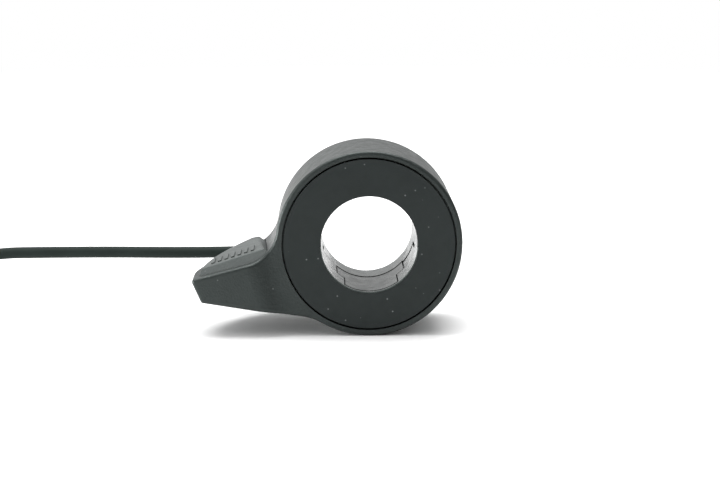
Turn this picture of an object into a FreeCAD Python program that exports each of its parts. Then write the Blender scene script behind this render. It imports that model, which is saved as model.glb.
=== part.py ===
import FreeCAD, Part
import math
import os
import Sketcher

# Thumb throttle lever for a handlebar, in millimetres.
# The origin is on the axis of the handlebar bore, halfway along it. X points right, Y away from the
# rider's thumb side and Z up. Depths are measured from the front face towards +Y, angles from +X
# towards +Z as seen from the front.

DRIVING = {
    # handlebar bore and the sleeve around it
    "bore_radius": 11.15,
    "body_width": 25.5,
    "sleeve_wall": 1.45,
    "lip_wall": 0.27,
    "lip_recess": 0.1,
    "lip_angle": 172.0,
    # fixed covers at the two ends
    "cover_radius": 19.76,
    "cover_thickness": 2.0,
    "spigot_depth": 2.5,
    "spigot_wall": 1.5,
    # ring of the lever, which turns on the spigots
    "ring_wall": 1.4,
    "running_gap": 0.44,
    "journal_radius": 19.0,
    "journal_clearance": 0.08,
    "slide_ring_thickness": 0.3,
    "slide_clearance": 0.08,
    "outline_rounding": 0.75,
    # blade of the lever: along and up are measured in the frame turned by the blade's slope
    "blade_slope": 18.0,
    "blade_top": 4.3,
    "blade_rise_angle": 2.9,
    "tip_along": 41.1,
    "tip_top": 5.0,
    "tip_bottom": -0.9,
    "belly_drop": 2.456,
    "root_fillet": 9.0,
    "belly_fillet": 12.0,
    "tip_lean": 0.6,
    "tip_trim": 0.3,
    "tip_rounding": 0.7,
    "ridge_rise": 1.3,
    "ridge_start": 21.9,
    "ridge_length": 6.8,
    "ridge_fall": 0.6,
    "blade_arc_start": 29.2,
    "blade_arc_radius": 30.0,
    "blade_arc_end": -11.3,
    # thumb pad, set into the top of the blade
    "pad_height": 2.05,
    "pad_seat_depth": 0.6,
    "pad_margin": 1.85,
    "pad_back_margin": 1.0,
    "pad_front_margin": 1.35,
    "pad_bevel_angle": 36.0,
    "pad_root": 22.15,
    "pad_clearance": 0.12,
    "pad_root_gap": 0.35,
    "pad_root_slant": 2.0,
    "pad_corner": 1.4,
    "pad_edge_height": 0.2,
    "pad_edge_angle": 62.0,
    "rib_count": 7,
    "rib_width": 0.8,
    "rib_spacing": 1.6,
    "rib_height": 0.25,
    "rib_length": 5.6,
    "rib_start": 26.0,
    "rib_front": 4.0,
    "core_start": 25.6,
    "core_end": 36.0,
    "core_margin": 3.6,
    "core_depth": 2.6,
    # lever travel, its inner lug and the two stops
    "lever_travel": 55.0,
    "lug_angle": 120.0,
    "lug_half_angle": 6.5,
    "lug_inner_radius": 15.6,
    "lug_front": 9.2,
    "lug_back": 19.0,
    "stop_angle": 3.8,
    "stop_clearance_angle": 0.25,
    "stop_inner_radius": 15.8,
    "stop_gap": 0.5,
    "stop_length": 14.0,
    "magnet_radius": 1.4,
    "magnet_length": 2.0,
    "magnet_orbit": 17.3,
    "magnet_pull_in": 0.1,
    # return spring
    "spring_radius": 14.2,
    "spring_wire": 0.45,
    "spring_front": 4.6,
    "spring_pitch": 1.0,
    "spring_turns": 4.0,
    "spring_anchor_offset": 50.0,
    "spring_orbit": 17.0,
    "spring_anchor_depth": 2.4,
    "spring_hole_clearance": 0.12,
    # clamp shoe in the bore, with its screw and threaded insert
    "shoe_offset": 0.54,
    "shoe_wide": 7.75,
    "shoe_narrow": 6.02,
    "shoe_front": 1.6,
    "shoe_shoulder": 9.5,
    "shoe_back": 16.9,
    "shoe_gap": 0.25,
    "shoe_front_gap": 0.85,
    "shoulder_gap": 0.6,
    "shoe_back_gap": 1.0,
    "shoe_clearance": 0.02,
    "shoe_boss_radius": 1.9,
    "shoe_boss_height": 0.4,
    "clamp_depth": 13.2,
    "clamp_boss_radius": 4.2,
    "clamp_boss_end": 18.1,
    "clamp_web_width": 5.0,
    "insert_radius": 2.8,
    "insert_length": 4.0,
    "screw_radius": 2.0,
    "screw_length": 4.8,
    "thread_clearance": 0.05,
    "key_size": 2.0,
    "key_depth": 2.2,
    "key_hole_radius": 1.7,
    # slit and notches that free the shoe from the sleeve
    "slit_start_angle": 318.0,
    "slit_end_angle": 348.0,
    "slit_depth": 14.9,
    "slit_width": 1.7,
    "right_notch_angle": 348.0,
    "right_notch_depth": 9.6,
    "left_notch_angle": 199.0,
    "left_notch_depth": 13.7,
    "notch_length": 5.2,
    "notch_half_angle": 2.2,
    # pillars and screws that hold the front cover
    "pillar_orbit": 16.9,
    "pillar_radius": 1.85,
    "pillar_front": 10.0,
    "cover_screw_radius": 0.8,
    "cover_screw_head_radius": 1.35,
    "cover_screw_head_height": 1.1,
    "cover_screw_length": 9.0,
    "screw_hole_clearance": 0.1,
    "screw_land": 1.6,
    # sensor board
    "board_inner_radius": 13.2,
    "board_outer_radius": 17.0,
    "board_start_angle": 100.0,
    "board_end_angle": 201.0,
    "board_thickness": 1.0,
    "board_standoff": 0.8,
    "board_screw_radius": 0.6,
    "board_screw_head_radius": 1.0,
    "board_screw_head_height": 0.6,
    "standoff_radius": 1.2,
    "sensor_angle": 147.0,
    "sensor_width": 3.6,
    "sensor_height": 2.8,
    "sensor_thickness": 1.5,
    "sensor_orbit": 15.0,
    "lead_width": 0.4,
    "lead_spacing": 1.27,
    # cable exit behind the rear face
    "exit_left": 18.6,
    "exit_right": 11.6,
    "exit_height": 7.2,
    "exit_beyond": 3.7,
    "exit_wall": 1.1,
    "exit_cap_thickness": 1.0,
    "cable_setback": 4.5,
    "cable_height": -7.2,
    "cable_radius": 1.4,
    "cable_squeeze": 0.05,
    "relief_length": 8.6,
    "relief_root_radius": 2.7,
    "relief_end_radius": 1.85,
    "relief_flange_radius": 2.1,
    "relief_flange_rise": 0.35,
    "relief_flange_thickness": 0.6,
    "cable_end_length": 0.2,
    "wire_radius": 0.38,
    "wire_spacing": 0.85,
    "wire_hole_radius": 2.3,
    "wire_hole_across": 14.1,
    "wire_hole_rise": 1.0,
    "wire_board_rise": 2.3,
    "wire_end_gap": 0.1,
    # coil and connector on the far end of the cable
    "coil_layers": 2,
    "coil_columns": 3,
    "coil_turns": 5.0,
    "coil_middle_radius": 15.4,
    "tail_length": 13.0,
    "boot_length": 9.0,
    "boot_end_radius": 2.2,
    "plug_length": 14.0,
    "plug_socket_depth": 8.0,
    "plug_socket_radius": 3.1,
    "collar_length": 9.0,
    "collar_wall": 0.6,
    "collar_setback": 2.0,
    "seal_radius": 0.3,
    "seal_setback": 3.0,
    "pin_radius": 0.5,
    "pin_orbit": 1.6,
    "pin_length": 6.0,
}

# Angles at which the three pillars of the front cover stand, clear of the lug's sweep.
PILLAR_ANGLES = (45.0, 235.0, 325.0)

# The two screws of the sensor board.
BOARD_SCREW_ANGLES = (106.0, 178.0)

# The cable's route after its exit, by hand: nearly level, then down to the surface and into the coil.
# Each point is (x, y, height above the surface).
CABLE_ROUTE = (
    (-28.0, 17.25, 14.40),
    (-46.0, 17.55, 14.15),
    (-62.0, 18.00, 14.30),
    (-78.0, 18.40, 14.20),
    (-93.0, 18.70, 14.00),
    (-103.0, 18.90, 10.20),
    (-112.0, 19.10, 4.10),
    (-121.0, 19.25, 1.40),
    (-130.0, 19.30, 1.40),
)

X_AXIS = FreeCAD.Vector(1, 0, 0)
Y_AXIS = FreeCAD.Vector(0, 1, 0)
Z_AXIS = FreeCAD.Vector(0, 0, 1)


class Size:
    """A number worked out from the sheet, kept together with its formula."""

    def __init__(self, value, formula):
        self.value = float(value)
        self.formula = formula

    def __add__(self, other):
        other = as_size(other)
        return Size(self.value + other.value, f"({self.formula} + {other.formula})")

    def __sub__(self, other):
        other = as_size(other)
        return Size(self.value - other.value, f"({self.formula} - {other.formula})")

    def __mul__(self, other):
        other = as_size(other)
        return Size(self.value * other.value, f"({self.formula} * {other.formula})")

    def __truediv__(self, other):
        other = as_size(other)
        return Size(self.value / other.value, f"({self.formula} / {other.formula})")

    def __radd__(self, other):
        return as_size(other) + self

    def __rsub__(self, other):
        return as_size(other) - self

    def __rmul__(self, other):
        return as_size(other) * self

    def __neg__(self):
        return Size(-self.value, f"(0 - {self.formula})")


def as_size(number):
    return number if isinstance(number, Size) else Size(number, f"{float(number):.6f}")


def root(size):
    return Size(math.sqrt(size.value), f"sqrt({size.formula})")


def arcsine(size):
    return Size(math.degrees(math.asin(size.value)), f"asin({size.formula})")


def arctangent(size):
    return Size(math.degrees(math.atan(size.value)), f"atan({size.formula})")


def cosine(size):
    size = as_size(size)
    return Size(math.cos(math.radians(size.value)), f"cos({size.formula})")


def sine(size):
    size = as_size(size)
    return Size(math.sin(math.radians(size.value)), f"sin({size.formula})")


def polar(radius, angle):
    """The point at a radius and an angle from the bore axis, seen from the front."""
    return (radius * cosine(angle), radius * sine(angle))


doc = FreeCAD.newDocument("thumb_throttle")
sheet = doc.addObject("Spreadsheet::Sheet", "Sizes")
for row, (alias, number) in enumerate(DRIVING.items(), start=1):
    sheet.set(f"A{row}", str(number))
    sheet.setAlias(f"A{row}", alias)
doc.recompute()


class Sheet:
    """Reads a driving size from the sheet by its name."""

    def __getattr__(self, alias):
        return Size(sheet.get(alias), f"Sizes.{alias}")


s = Sheet()
parts = []
worked_out = []


def noted(alias, size):
    """Enter a size that others are worked out from in the sheet too, under a name of its own."""
    worked_out.append(alias)
    cell = f"B{len(worked_out)}"
    sheet.set(cell, "=" + size.formula.replace("Sizes.", ""))
    sheet.setAlias(cell, alias)
    doc.recompute()
    return Size(size.value, f"Sizes.{alias}")


def keep(item, label):
    """Enter an object as a piece of the model, under the name of its file."""
    item.Label = label
    parts.append(item)
    return item


def bind(item, **sizes):
    """Tie properties of an object to formulas of the sheet; two underscores stand for a full stop."""
    for name, size in sizes.items():
        item.setExpression(name.replace("__", "."), as_size(size).formula)


def place(item, x=0, y=0, z=0):
    bind(item, Placement__Base__x=x, Placement__Base__y=y, Placement__Base__z=z)


# Shared places worked out from the driving sizes.

noted("ring_radius", s.cover_radius + s.running_gap + s.ring_wall)
noted("stop_outer_radius", s.journal_radius - s.stop_gap)
noted("exit_length", s.cable_setback + s.exit_beyond)
half_width = s.body_width / 2
floor_height = -s.ring_radius
sleeve_radius = s.bore_radius + s.sleeve_wall
mouth_radius = s.cover_radius + s.running_gap
spigot_radius = s.journal_radius - s.journal_clearance
back_depth = s.body_width
rear_plate_depth = s.body_width - s.cover_thickness
shoulder_recess = s.cover_thickness + s.slide_ring_thickness + s.slide_clearance
cable_y = half_width + s.cable_setback
coil_height = 2 * s.cable_radius * s.coil_layers


def at_depth(depth):
    """The Y position at a depth behind the front face."""
    return as_size(depth) - half_width


# Sketches and the features made from them.

class Bend:
    """An arc between two corners of a loop: turn is +1 for anticlockwise, -1 for clockwise."""

    def __init__(self, radius, turn, long_way=False):
        self.radius = as_size(radius)
        self.turn = turn
        self.long_way = long_way


def flat(point):
    return FreeCAD.Vector(as_size(point[0]).value, as_size(point[1]).value, 0)


def arc_between(start, end, bend):
    chord = end - start
    height = math.sqrt(max(bend.radius.value ** 2 - (chord.Length / 2) ** 2, 0))
    left = FreeCAD.Vector(-chord.y, chord.x, 0).normalize()
    side = bend.turn * (-1 if bend.long_way else 1)
    centre = (start + end) / 2 + left * (side * height)
    first, last = (start, end) if bend.turn > 0 else (end, start)
    first_angle = math.atan2(first.y - centre.y, first.x - centre.x)
    last_angle = math.atan2(last.y - centre.y, last.x - centre.x)
    if last_angle <= first_angle:
        last_angle += 2 * math.pi
    circle = Part.Circle(centre, Z_AXIS, bend.radius.value)
    return Part.ArcOfCircle(circle, first_angle, last_angle)


def fix_point(sketch, item, end, point):
    """Pin one point of a sketch at its formulas, measured from the sketch's origin."""
    for kind, size in zip(("DistanceX", "DistanceY"), point):
        size = as_size(size)
        index = sketch.addConstraint(Sketcher.Constraint(kind, -1, 1, item, end, size.value))
        sketch.setExpression(f"Constraints[{index}]", size.formula)


def fix_radius(sketch, item, radius):
    index = sketch.addConstraint(Sketcher.Constraint("Radius", item, radius.value))
    sketch.setExpression(f"Constraints[{index}]", radius.formula)


def draw_loop(sketch, *items):
    """Draw a closed loop of corners, with a Bend between two corners that an arc joins."""
    corners = [item for item in items if not isinstance(item, Bend)]
    bends = {}
    for place_in_list, item in enumerate(items):
        if isinstance(item, Bend):
            before = sum(1 for other in items[:place_in_list] if not isinstance(other, Bend)) - 1
            bends[before] = item
    ends = []
    for number, corner in enumerate(corners):
        start = flat(corner)
        end = flat(corners[(number + 1) % len(corners)])
        if number in bends:
            index = sketch.addGeometry(arc_between(start, end, bends[number]), False)
            ends.append((index, 1, 2) if bends[number].turn > 0 else (index, 2, 1))
        else:
            index = sketch.addGeometry(Part.LineSegment(start, end), False)
            ends.append((index, 1, 2))
    for number, (index, first, last) in enumerate(ends):
        next_index, next_first, next_last = ends[(number + 1) % len(ends)]
        sketch.addConstraint(Sketcher.Constraint("Coincident", index, last, next_index, next_first))
        fix_point(sketch, index, first, corners[number])
        if number in bends:
            fix_radius(sketch, index, bends[number].radius)


def draw_box(sketch, left, bottom, right, top):
    draw_loop(sketch, (left, bottom), (right, bottom), (right, top), (left, top))


def draw_circle(sketch, centre, radius):
    radius = as_size(radius)
    index = sketch.addGeometry(Part.Circle(flat(centre), Z_AXIS, radius.value), False)
    fix_point(sketch, index, 3, centre)
    fix_radius(sketch, index, radius)


def draw_sector(sketch, inner, outer, start_angle, end_angle):
    """Draw a piece of a ring around the bore axis."""
    draw_loop(
        sketch,
        polar(inner, start_angle), polar(outer, start_angle), Bend(outer, 1),
        polar(outer, end_angle), polar(inner, end_angle), Bend(inner, -1),
    )


def new_body(label):
    body = doc.addObject("PartDesign::Body", label)
    return keep(body, label)


def new_sketch(body, role, name):
    sketch = body.newObject("Sketcher::SketchObject", name)
    plane = next(item for item in body.Origin.OriginFeatures if item.Role == role)
    sketch.AttachmentSupport = [(plane, "")]
    sketch.MapMode = "FlatFace"
    return sketch


def front_sketch(body, name, depth):
    """A sketch in X and Z, facing the front, at a depth behind the front face."""
    sketch = new_sketch(body, "XZ_Plane", name)
    bind(sketch, AttachmentOffset__Base__z=-at_depth(depth))
    return sketch


def plan_sketch(body, name, height):
    """A sketch in X and Y, facing up, at a height."""
    sketch = new_sketch(body, "XY_Plane", name)
    bind(sketch, AttachmentOffset__Base__z=height)
    return sketch


def blade_plan_sketch(body, name, height):
    """A sketch along the blade (towards -X of the sketch) and Y, at a height over the turned frame."""
    sketch = new_sketch(body, "XY_Plane", name)
    tilt = FreeCAD.Rotation(FreeCAD.Vector(0, -1, 0), s.blade_slope.value)
    sketch.AttachmentOffset = FreeCAD.Placement(FreeCAD.Vector(0, 0, 0), tilt)
    bind(
        sketch,
        AttachmentOffset__Rotation__Angle=s.blade_slope,
        AttachmentOffset__Base__x=-as_size(height) * sine(s.blade_slope),
        AttachmentOffset__Base__z=as_size(height) * cosine(s.blade_slope),
    )
    return sketch


def pad(body, sketch, length, taper=None):
    feature = body.newObject("PartDesign::Pad", f"{sketch.Name}_pad")
    feature.Profile = sketch
    bind(feature, Length=length)
    if taper is not None:
        bind(feature, TaperAngle=taper)
    return feature


def pocket(body, sketch, length, both_ways=False, upwards=False, taper=None):
    feature = body.newObject("PartDesign::Pocket", f"{sketch.Name}_pocket")
    feature.Profile = sketch
    feature.Midplane = both_ways
    feature.Reversed = upwards
    bind(feature, Length=length)
    if taper is not None:
        bind(feature, TaperAngle=taper)
    return feature


def turned(body, sketch, cut=False):
    """Turn a sketch in X and Y around the bore axis, to add or to cut."""
    kind = "PartDesign::Groove" if cut else "PartDesign::Revolution"
    feature = body.newObject(kind, f"{sketch.Name}_turned")
    feature.Profile = sketch
    feature.ReferenceAxis = (sketch, ["V_Axis"])
    feature.Angle = 360
    return feature


def radius_profile(body, name, *corners):
    """A sketch of a turned outline: corners are (radius, depth)."""
    sketch = new_sketch(body, "XY_Plane", name)
    draw_loop(sketch, *[(radius, at_depth(depth)) for radius, depth in corners])
    return sketch


def round_edges(body, name, radius, chosen):
    """Round the edges of a body's last feature that the test chooses."""
    doc.recompute()
    base = body.Tip
    names = [
        f"Edge{number}" for number, edge in enumerate(base.Shape.Edges, start=1) if chosen(edge)
    ]
    feature = body.newObject("PartDesign::Fillet", name)
    feature.Base = (base, names)
    bind(feature, Radius=radius)
    return feature


def cylinder(label, radius, length, axis="z"):
    """A plain cylinder with its axis along x, y or z, standing on its own placement."""
    item = doc.addObject("Part::Cylinder", label)
    bind(item, Radius=radius, Height=length)
    if axis == "y":
        item.Placement = FreeCAD.Placement(FreeCAD.Vector(0, 0, 0), FreeCAD.Rotation(X_AXIS, -90))
    if axis == "x":
        item.Placement = FreeCAD.Placement(FreeCAD.Vector(0, 0, 0), FreeCAD.Rotation(Y_AXIS, 90))
    return item


def fused(label, items):
    item = doc.addObject("Part::MultiFuse", label)
    item.Shapes = items
    return item


def cut_away(label, base, tool):
    item = doc.addObject("Part::Cut", label)
    item.Base = base
    item.Tool = tool
    return item


def grouped(label, items):
    """Like pieces in one node, each a solid of its own."""
    item = doc.addObject("Part::Compound", label)
    item.Links = items
    return keep(item, label)


# The blade's outline, in the frame turned by its slope: along runs from the bore axis to the tip.

def along(distance):
    """The sketch coordinate of a distance along the blade, which runs towards -X."""
    return -as_size(distance)


plan_tip = s.tip_along + s.tip_lean + s.tip_trim
top_tip = s.tip_along + s.tip_lean
top_offset = s.tip_top * cosine(s.blade_rise_angle) - top_tip * sine(s.blade_rise_angle)
root_reach = s.ring_radius + s.root_fillet
root_out = noted("root_out", top_offset + s.root_fillet)
root_run = noted("root_run", root(root_reach * root_reach - root_out * root_out))
root_centre_along = noted(
    "root_centre_along",
    root_run * cosine(s.blade_rise_angle) - root_out * sine(s.blade_rise_angle),
)
root_centre_up = noted(
    "root_centre_up",
    root_run * sine(s.blade_rise_angle) + root_out * cosine(s.blade_rise_angle),
)
belly_offset = s.ring_radius - s.belly_drop
tip_reach = root(s.tip_along * s.tip_along + s.tip_bottom * s.tip_bottom)
noted("belly_angle", arcsine(belly_offset / tip_reach) + arctangent(s.tip_bottom / s.tip_along))
belly_reach = s.ring_radius + s.belly_fillet
belly_out = noted("belly_out", belly_offset + s.belly_fillet)
belly_run = noted("belly_run", root(belly_reach * belly_reach - belly_out * belly_out))
belly_centre_along = noted(
    "belly_centre_along", belly_out * sine(s.belly_angle) + belly_run * cosine(s.belly_angle),
)
belly_centre_up = noted(
    "belly_centre_up", belly_run * sine(s.belly_angle) - belly_out * cosine(s.belly_angle),
)
blade_front = -half_width - s.ridge_rise


def draw_blade_side(sketch):
    """Ring and blade in one outline, with the two big fillets that blend them."""
    ring_share = s.ring_radius / root_reach
    belly_share = s.ring_radius / belly_reach
    root_on_ring = (along(root_centre_along * ring_share), root_centre_up * ring_share)
    belly_on_ring = (along(belly_centre_along * belly_share), belly_centre_up * belly_share)
    root_on_line = (
        along(root_centre_along + s.root_fillet * sine(s.blade_rise_angle)),
        root_centre_up - s.root_fillet * cosine(s.blade_rise_angle),
    )
    belly_on_line = (
        along(belly_centre_along - s.belly_fillet * sine(s.belly_angle)),
        belly_centre_up + s.belly_fillet * cosine(s.belly_angle),
    )
    draw_loop(
        sketch,
        root_on_ring, Bend(s.root_fillet, -1),
        root_on_line,
        (along(top_tip), s.tip_top),
        (along(s.tip_along), s.tip_bottom),
        belly_on_line, Bend(s.belly_fillet, -1),
        belly_on_ring, Bend(s.ring_radius, 1, long_way=True),
    )


def arc_centre():
    """Centre of the blade's curved back edge, from its two ends and its radius."""
    run = plan_tip - s.blade_arc_start
    fall = half_width - s.blade_arc_end
    chord = root(run * run + fall * fall)
    height = root(s.blade_arc_radius * s.blade_arc_radius - chord * chord / 4)
    centre_along = (plan_tip + s.blade_arc_start) / 2 - height * fall / chord
    centre_y = (half_width + s.blade_arc_end) / 2 - height * run / chord
    return centre_along, centre_y


def back_edge_at(y, radius):
    """Distance along the blade at which the curved back edge of a radius passes a Y."""
    centre_along, centre_y = arc_centre()
    rise = y - centre_y
    return centre_along + root(radius * radius - rise * rise)


def draw_fin(sketch, inset, root_inset):
    """The pad's plan, drawn in by an inset: slanted root, cut corner and a curved edge to the tip."""
    radius = s.blade_arc_radius - s.pad_margin - inset
    front = s.pad_front_margin + inset - half_width
    back = half_width - s.pad_back_margin - inset
    root_along = s.pad_root + root_inset
    draw_loop(
        sketch,
        (along(root_along), front),
        (along(root_along + s.pad_root_slant), back - s.pad_corner),
        (along(root_along + s.pad_root_slant + s.pad_corner), back),
        (along(back_edge_at(back, radius)), back), Bend(radius, 1),
        (along(back_edge_at(front, radius)), front),
    )


def is_level(edge, tolerance=0.01):
    return abs(edge.Vertexes[0].Point.y - edge.Vertexes[-1].Point.y) < tolerance


# Lever: ring, blade, lug and seat for the pad, moulded in one.

lever = new_body("lever")
side = front_sketch(lever, "lever_side", back_depth)
bind(side, AttachmentOffset__Rotation__Angle=s.blade_slope)
draw_blade_side(side)
pad(lever, side, s.body_width + s.ridge_rise)

plan = blade_plan_sketch(lever, "lever_plan", 0)
outside = s.ring_radius + 2
ridge_middle = s.ridge_start + s.ridge_length / 2
ridge_end = s.ridge_start + s.ridge_length
ridge_radius = (s.ridge_length * s.ridge_length + s.ridge_rise * s.ridge_rise) / (4 * s.ridge_rise)
draw_box(plan, along(plan_tip + 4), blade_front - 4, outside + 4, half_width + 4)
draw_loop(
    plan,
    (outside, -half_width),
    (outside, half_width + 2),
    (along(s.blade_arc_start), half_width + 2),
    (along(s.blade_arc_start), half_width), Bend(s.blade_arc_radius, 1),
    (along(plan_tip), s.blade_arc_end),
    (along(plan_tip), blade_front + s.ridge_fall),
    (along(ridge_end), blade_front), Bend(ridge_radius, 1),
    (along(ridge_middle), -half_width - s.ridge_rise / 2), Bend(ridge_radius, -1),
    (along(s.ridge_start), -half_width),
)
pocket(lever, plan, 6 * s.ring_radius, both_ways=True)


def is_tip_corner(edge):
    """The upright edge at the front of the tip."""
    box = edge.BoundBox
    return (
        math.hypot(box.Center.x, box.Center.z) > s.tip_along.value - 3
        and box.YLength < 0.1
        and box.Center.y < blade_front.value + s.ridge_fall.value + 0.1
        and edge.Length > 3
    )


round_edges(lever, "tip_corner_rounding", s.tip_rounding, is_tip_corner)


def on_outline(edge):
    """Edges between the front and back faces and the outer walls of ring and blade."""
    if edge.BoundBox.YMin > half_width.value - 0.02:
        return True
    return edge.BoundBox.YMax < 0.02 - half_width.value and not is_front_seam(edge)


def is_front_seam(edge):
    """Seams within the front face run across it, square to the blade's slope."""
    start = edge.Vertexes[0].Point
    end = edge.Vertexes[-1].Point
    slope = s.blade_slope.value
    up = FreeCAD.Vector(-math.sin(math.radians(slope)), 0, math.cos(math.radians(slope)))
    span = end - start
    return span.Length > 1 and abs(abs(span.normalize().dot(up)) - 1) < 1e-6 and is_level(edge)


round_edges(lever, "outline_rounding", s.outline_rounding, on_outline)

bore = radius_profile(
    lever, "lever_bore",
    (0, -2 * s.ridge_rise), (mouth_radius, -2 * s.ridge_rise),
    (mouth_radius, shoulder_recess), (s.journal_radius, shoulder_recess),
    (s.journal_radius, s.body_width - shoulder_recess), (mouth_radius, s.body_width - shoulder_recess),
    (mouth_radius, s.body_width + 1), (0, s.body_width + 1),
)
turned(lever, bore, cut=True)

lug = front_sketch(lever, "lever_lug", s.lug_back)
draw_sector(
    lug, s.lug_inner_radius, s.journal_radius + 0.5,
    s.lug_angle - s.lug_half_angle, s.lug_angle + s.lug_half_angle,
)
pad(lever, lug, s.lug_back - s.lug_front)

magnet_pocket = front_sketch(lever, "magnet_pocket", s.lug_back - s.magnet_length + s.magnet_pull_in)
draw_circle(magnet_pocket, polar(s.magnet_orbit, s.lug_angle), s.magnet_radius)
pocket(lever, magnet_pocket, s.magnet_length)

spring_hole = front_sketch(lever, "spring_hole", s.lug_front)
draw_circle(
    spring_hole, polar(s.spring_orbit, s.lug_angle), s.spring_wire + s.spring_hole_clearance,
)
pocket(lever, spring_hole, s.spring_anchor_depth + s.spring_hole_clearance)

seat_height = s.blade_top - s.pad_seat_depth
for name in ("pad_seat", "pad_opening"):
    seat = blade_plan_sketch(lever, name, s.blade_top)
    draw_fin(seat, -s.pad_clearance, -s.pad_root_gap)
    if name == "pad_seat":
        pocket(lever, seat, s.pad_seat_depth)
    else:
        pocket(lever, seat, s.pad_height, upwards=True, taper=-s.pad_bevel_angle)

core = blade_plan_sketch(lever, "blade_core", seat_height)
draw_loop(
    core,
    (along(s.core_start), s.core_margin - half_width),
    (along(s.core_start), half_width - s.core_margin),
    (along(back_edge_at(half_width - s.core_margin, s.blade_arc_radius - s.core_margin)),
     half_width - s.core_margin),
    Bend(s.blade_arc_radius - s.core_margin, 1),
    (along(s.core_end),
     arc_centre()[1] + root(
         (s.blade_arc_radius - s.core_margin) * (s.blade_arc_radius - s.core_margin)
         - (s.core_end - arc_centre()[0]) * (s.core_end - arc_centre()[0]))),
    (along(s.core_end), s.core_margin - half_width),
)
pocket(lever, core, s.core_depth)

key_hole = plan_sketch(lever, "key_hole", -s.lug_inner_radius)
draw_circle(key_hole, (s.shoe_offset, at_depth(s.clamp_depth)), s.key_hole_radius)
pocket(lever, key_hole, s.ring_radius)

# Thumb pad: a softer fin-shaped piece with a sloped edge all round and plain grip ribs.

thumb_pad = new_body("thumb_pad")
pad_base = blade_plan_sketch(thumb_pad, "pad_base", seat_height)
draw_fin(pad_base, 0, 0)
pad(thumb_pad, pad_base, s.pad_seat_depth)
pad_top = blade_plan_sketch(thumb_pad, "pad_top", s.blade_top)
draw_fin(pad_top, 0, 0)
wall_height = s.pad_height - s.pad_edge_height
wall_lean = wall_height * sine(s.pad_bevel_angle) / cosine(s.pad_bevel_angle)
pad(thumb_pad, pad_top, wall_height, taper=-s.pad_bevel_angle)
pad_edge = blade_plan_sketch(thumb_pad, "pad_edge", s.blade_top + wall_height)
draw_fin(pad_edge, wall_lean, wall_lean)
pad(thumb_pad, pad_edge, s.pad_edge_height, taper=-s.pad_edge_angle)
rib = blade_plan_sketch(thumb_pad, "grip_rib", s.blade_top + s.pad_height)
draw_box(
    rib,
    along(s.rib_start + s.rib_width), s.rib_front - half_width,
    along(s.rib_start), s.rib_front + s.rib_length - half_width,
)
rib_pad = pad(thumb_pad, rib, s.rib_height)
ribs = thumb_pad.newObject("PartDesign::LinearPattern", "grip_ribs")
ribs.Originals = [rib_pad]
ribs.Direction = (rib, ["H_Axis"])
ribs.Reversed = True
bind(ribs, Length=s.rib_spacing * (s.rib_count - 1), Occurrences=s.rib_count)
thumb_pad.Tip = ribs

# Magnet in the lug, facing the sensor.

magnet = keep(cylinder("magnet", s.magnet_radius, s.magnet_length, axis="y"), "magnet")
magnet_x, magnet_z = polar(s.magnet_orbit, s.lug_angle)
place(magnet, magnet_x, at_depth(s.lug_back - s.magnet_length + s.magnet_pull_in), magnet_z)

# Core housing: bore sleeve, rear plate, pillars, clamp boss and cable exit, moulded in one.

housing = new_body("core_housing")
housing_profile = radius_profile(
    housing, "housing_profile",
    (s.bore_radius, s.cover_thickness), (sleeve_radius, s.cover_thickness),
    (sleeve_radius, rear_plate_depth), (spigot_radius - s.spigot_wall, rear_plate_depth),
    (spigot_radius - s.spigot_wall, rear_plate_depth - s.spigot_depth),
    (spigot_radius, rear_plate_depth - s.spigot_depth),
    (spigot_radius, rear_plate_depth), (s.cover_radius, rear_plate_depth),
    (s.cover_radius, back_depth), (s.bore_radius, back_depth),
)
turned(housing, housing_profile)

lip = front_sketch(housing, "front_lip", s.cover_thickness)
draw_sector(
    lip, s.bore_radius, s.bore_radius + s.lip_wall, 270 - s.lip_angle / 2, 270 + s.lip_angle / 2,
)
pad(housing, lip, s.cover_thickness - s.lip_recess)

pillars = front_sketch(housing, "pillars", rear_plate_depth)
for angle in PILLAR_ANGLES:
    draw_circle(pillars, polar(s.pillar_orbit, angle), s.pillar_radius)
pad(housing, pillars, rear_plate_depth - s.pillar_front)

standoffs = front_sketch(housing, "board_standoffs", rear_plate_depth)
board_middle_radius = (s.board_inner_radius + s.board_outer_radius) / 2
for angle in BOARD_SCREW_ANGLES:
    draw_circle(standoffs, polar(board_middle_radius, angle), s.standoff_radius)
pad(housing, standoffs, s.board_standoff)

boss = plan_sketch(housing, "clamp_boss", -s.clamp_boss_end)
draw_circle(boss, (s.shoe_offset, at_depth(s.clamp_depth)), s.clamp_boss_radius)
boss_height = s.clamp_boss_end - s.bore_radius - s.sleeve_wall / 6
pad(housing, boss, boss_height)

boss_web = plan_sketch(housing, "clamp_boss_web", -s.clamp_boss_end)
draw_box(
    boss_web, s.shoe_offset - s.clamp_web_width / 2, at_depth(s.clamp_depth),
    s.shoe_offset + s.clamp_web_width / 2, at_depth(rear_plate_depth),
)
pad(housing, boss_web, boss_height)

exit_box = front_sketch(housing, "cable_exit", s.body_width + s.exit_length)
draw_box(
    exit_box, -s.exit_left, s.cable_height - s.exit_height / 2,
    -s.exit_right, s.cable_height + s.exit_height / 2,
)
pad(housing, exit_box, s.exit_length)

exit_room = front_sketch(housing, "exit_room", s.body_width)
draw_box(
    exit_room, s.exit_wall - s.exit_left, s.cable_height - s.exit_height / 2 + s.exit_wall,
    -s.exit_right - s.exit_wall, s.cable_height + s.exit_height / 2 - s.exit_wall,
)
pocket(housing, exit_room, s.exit_length)

wire_hole = front_sketch(housing, "wire_hole", rear_plate_depth)
draw_circle(
    wire_hole, (-s.wire_hole_across, s.cable_height + s.wire_hole_rise), s.wire_hole_radius,
)
pocket(housing, wire_hole, s.cover_thickness)

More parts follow.
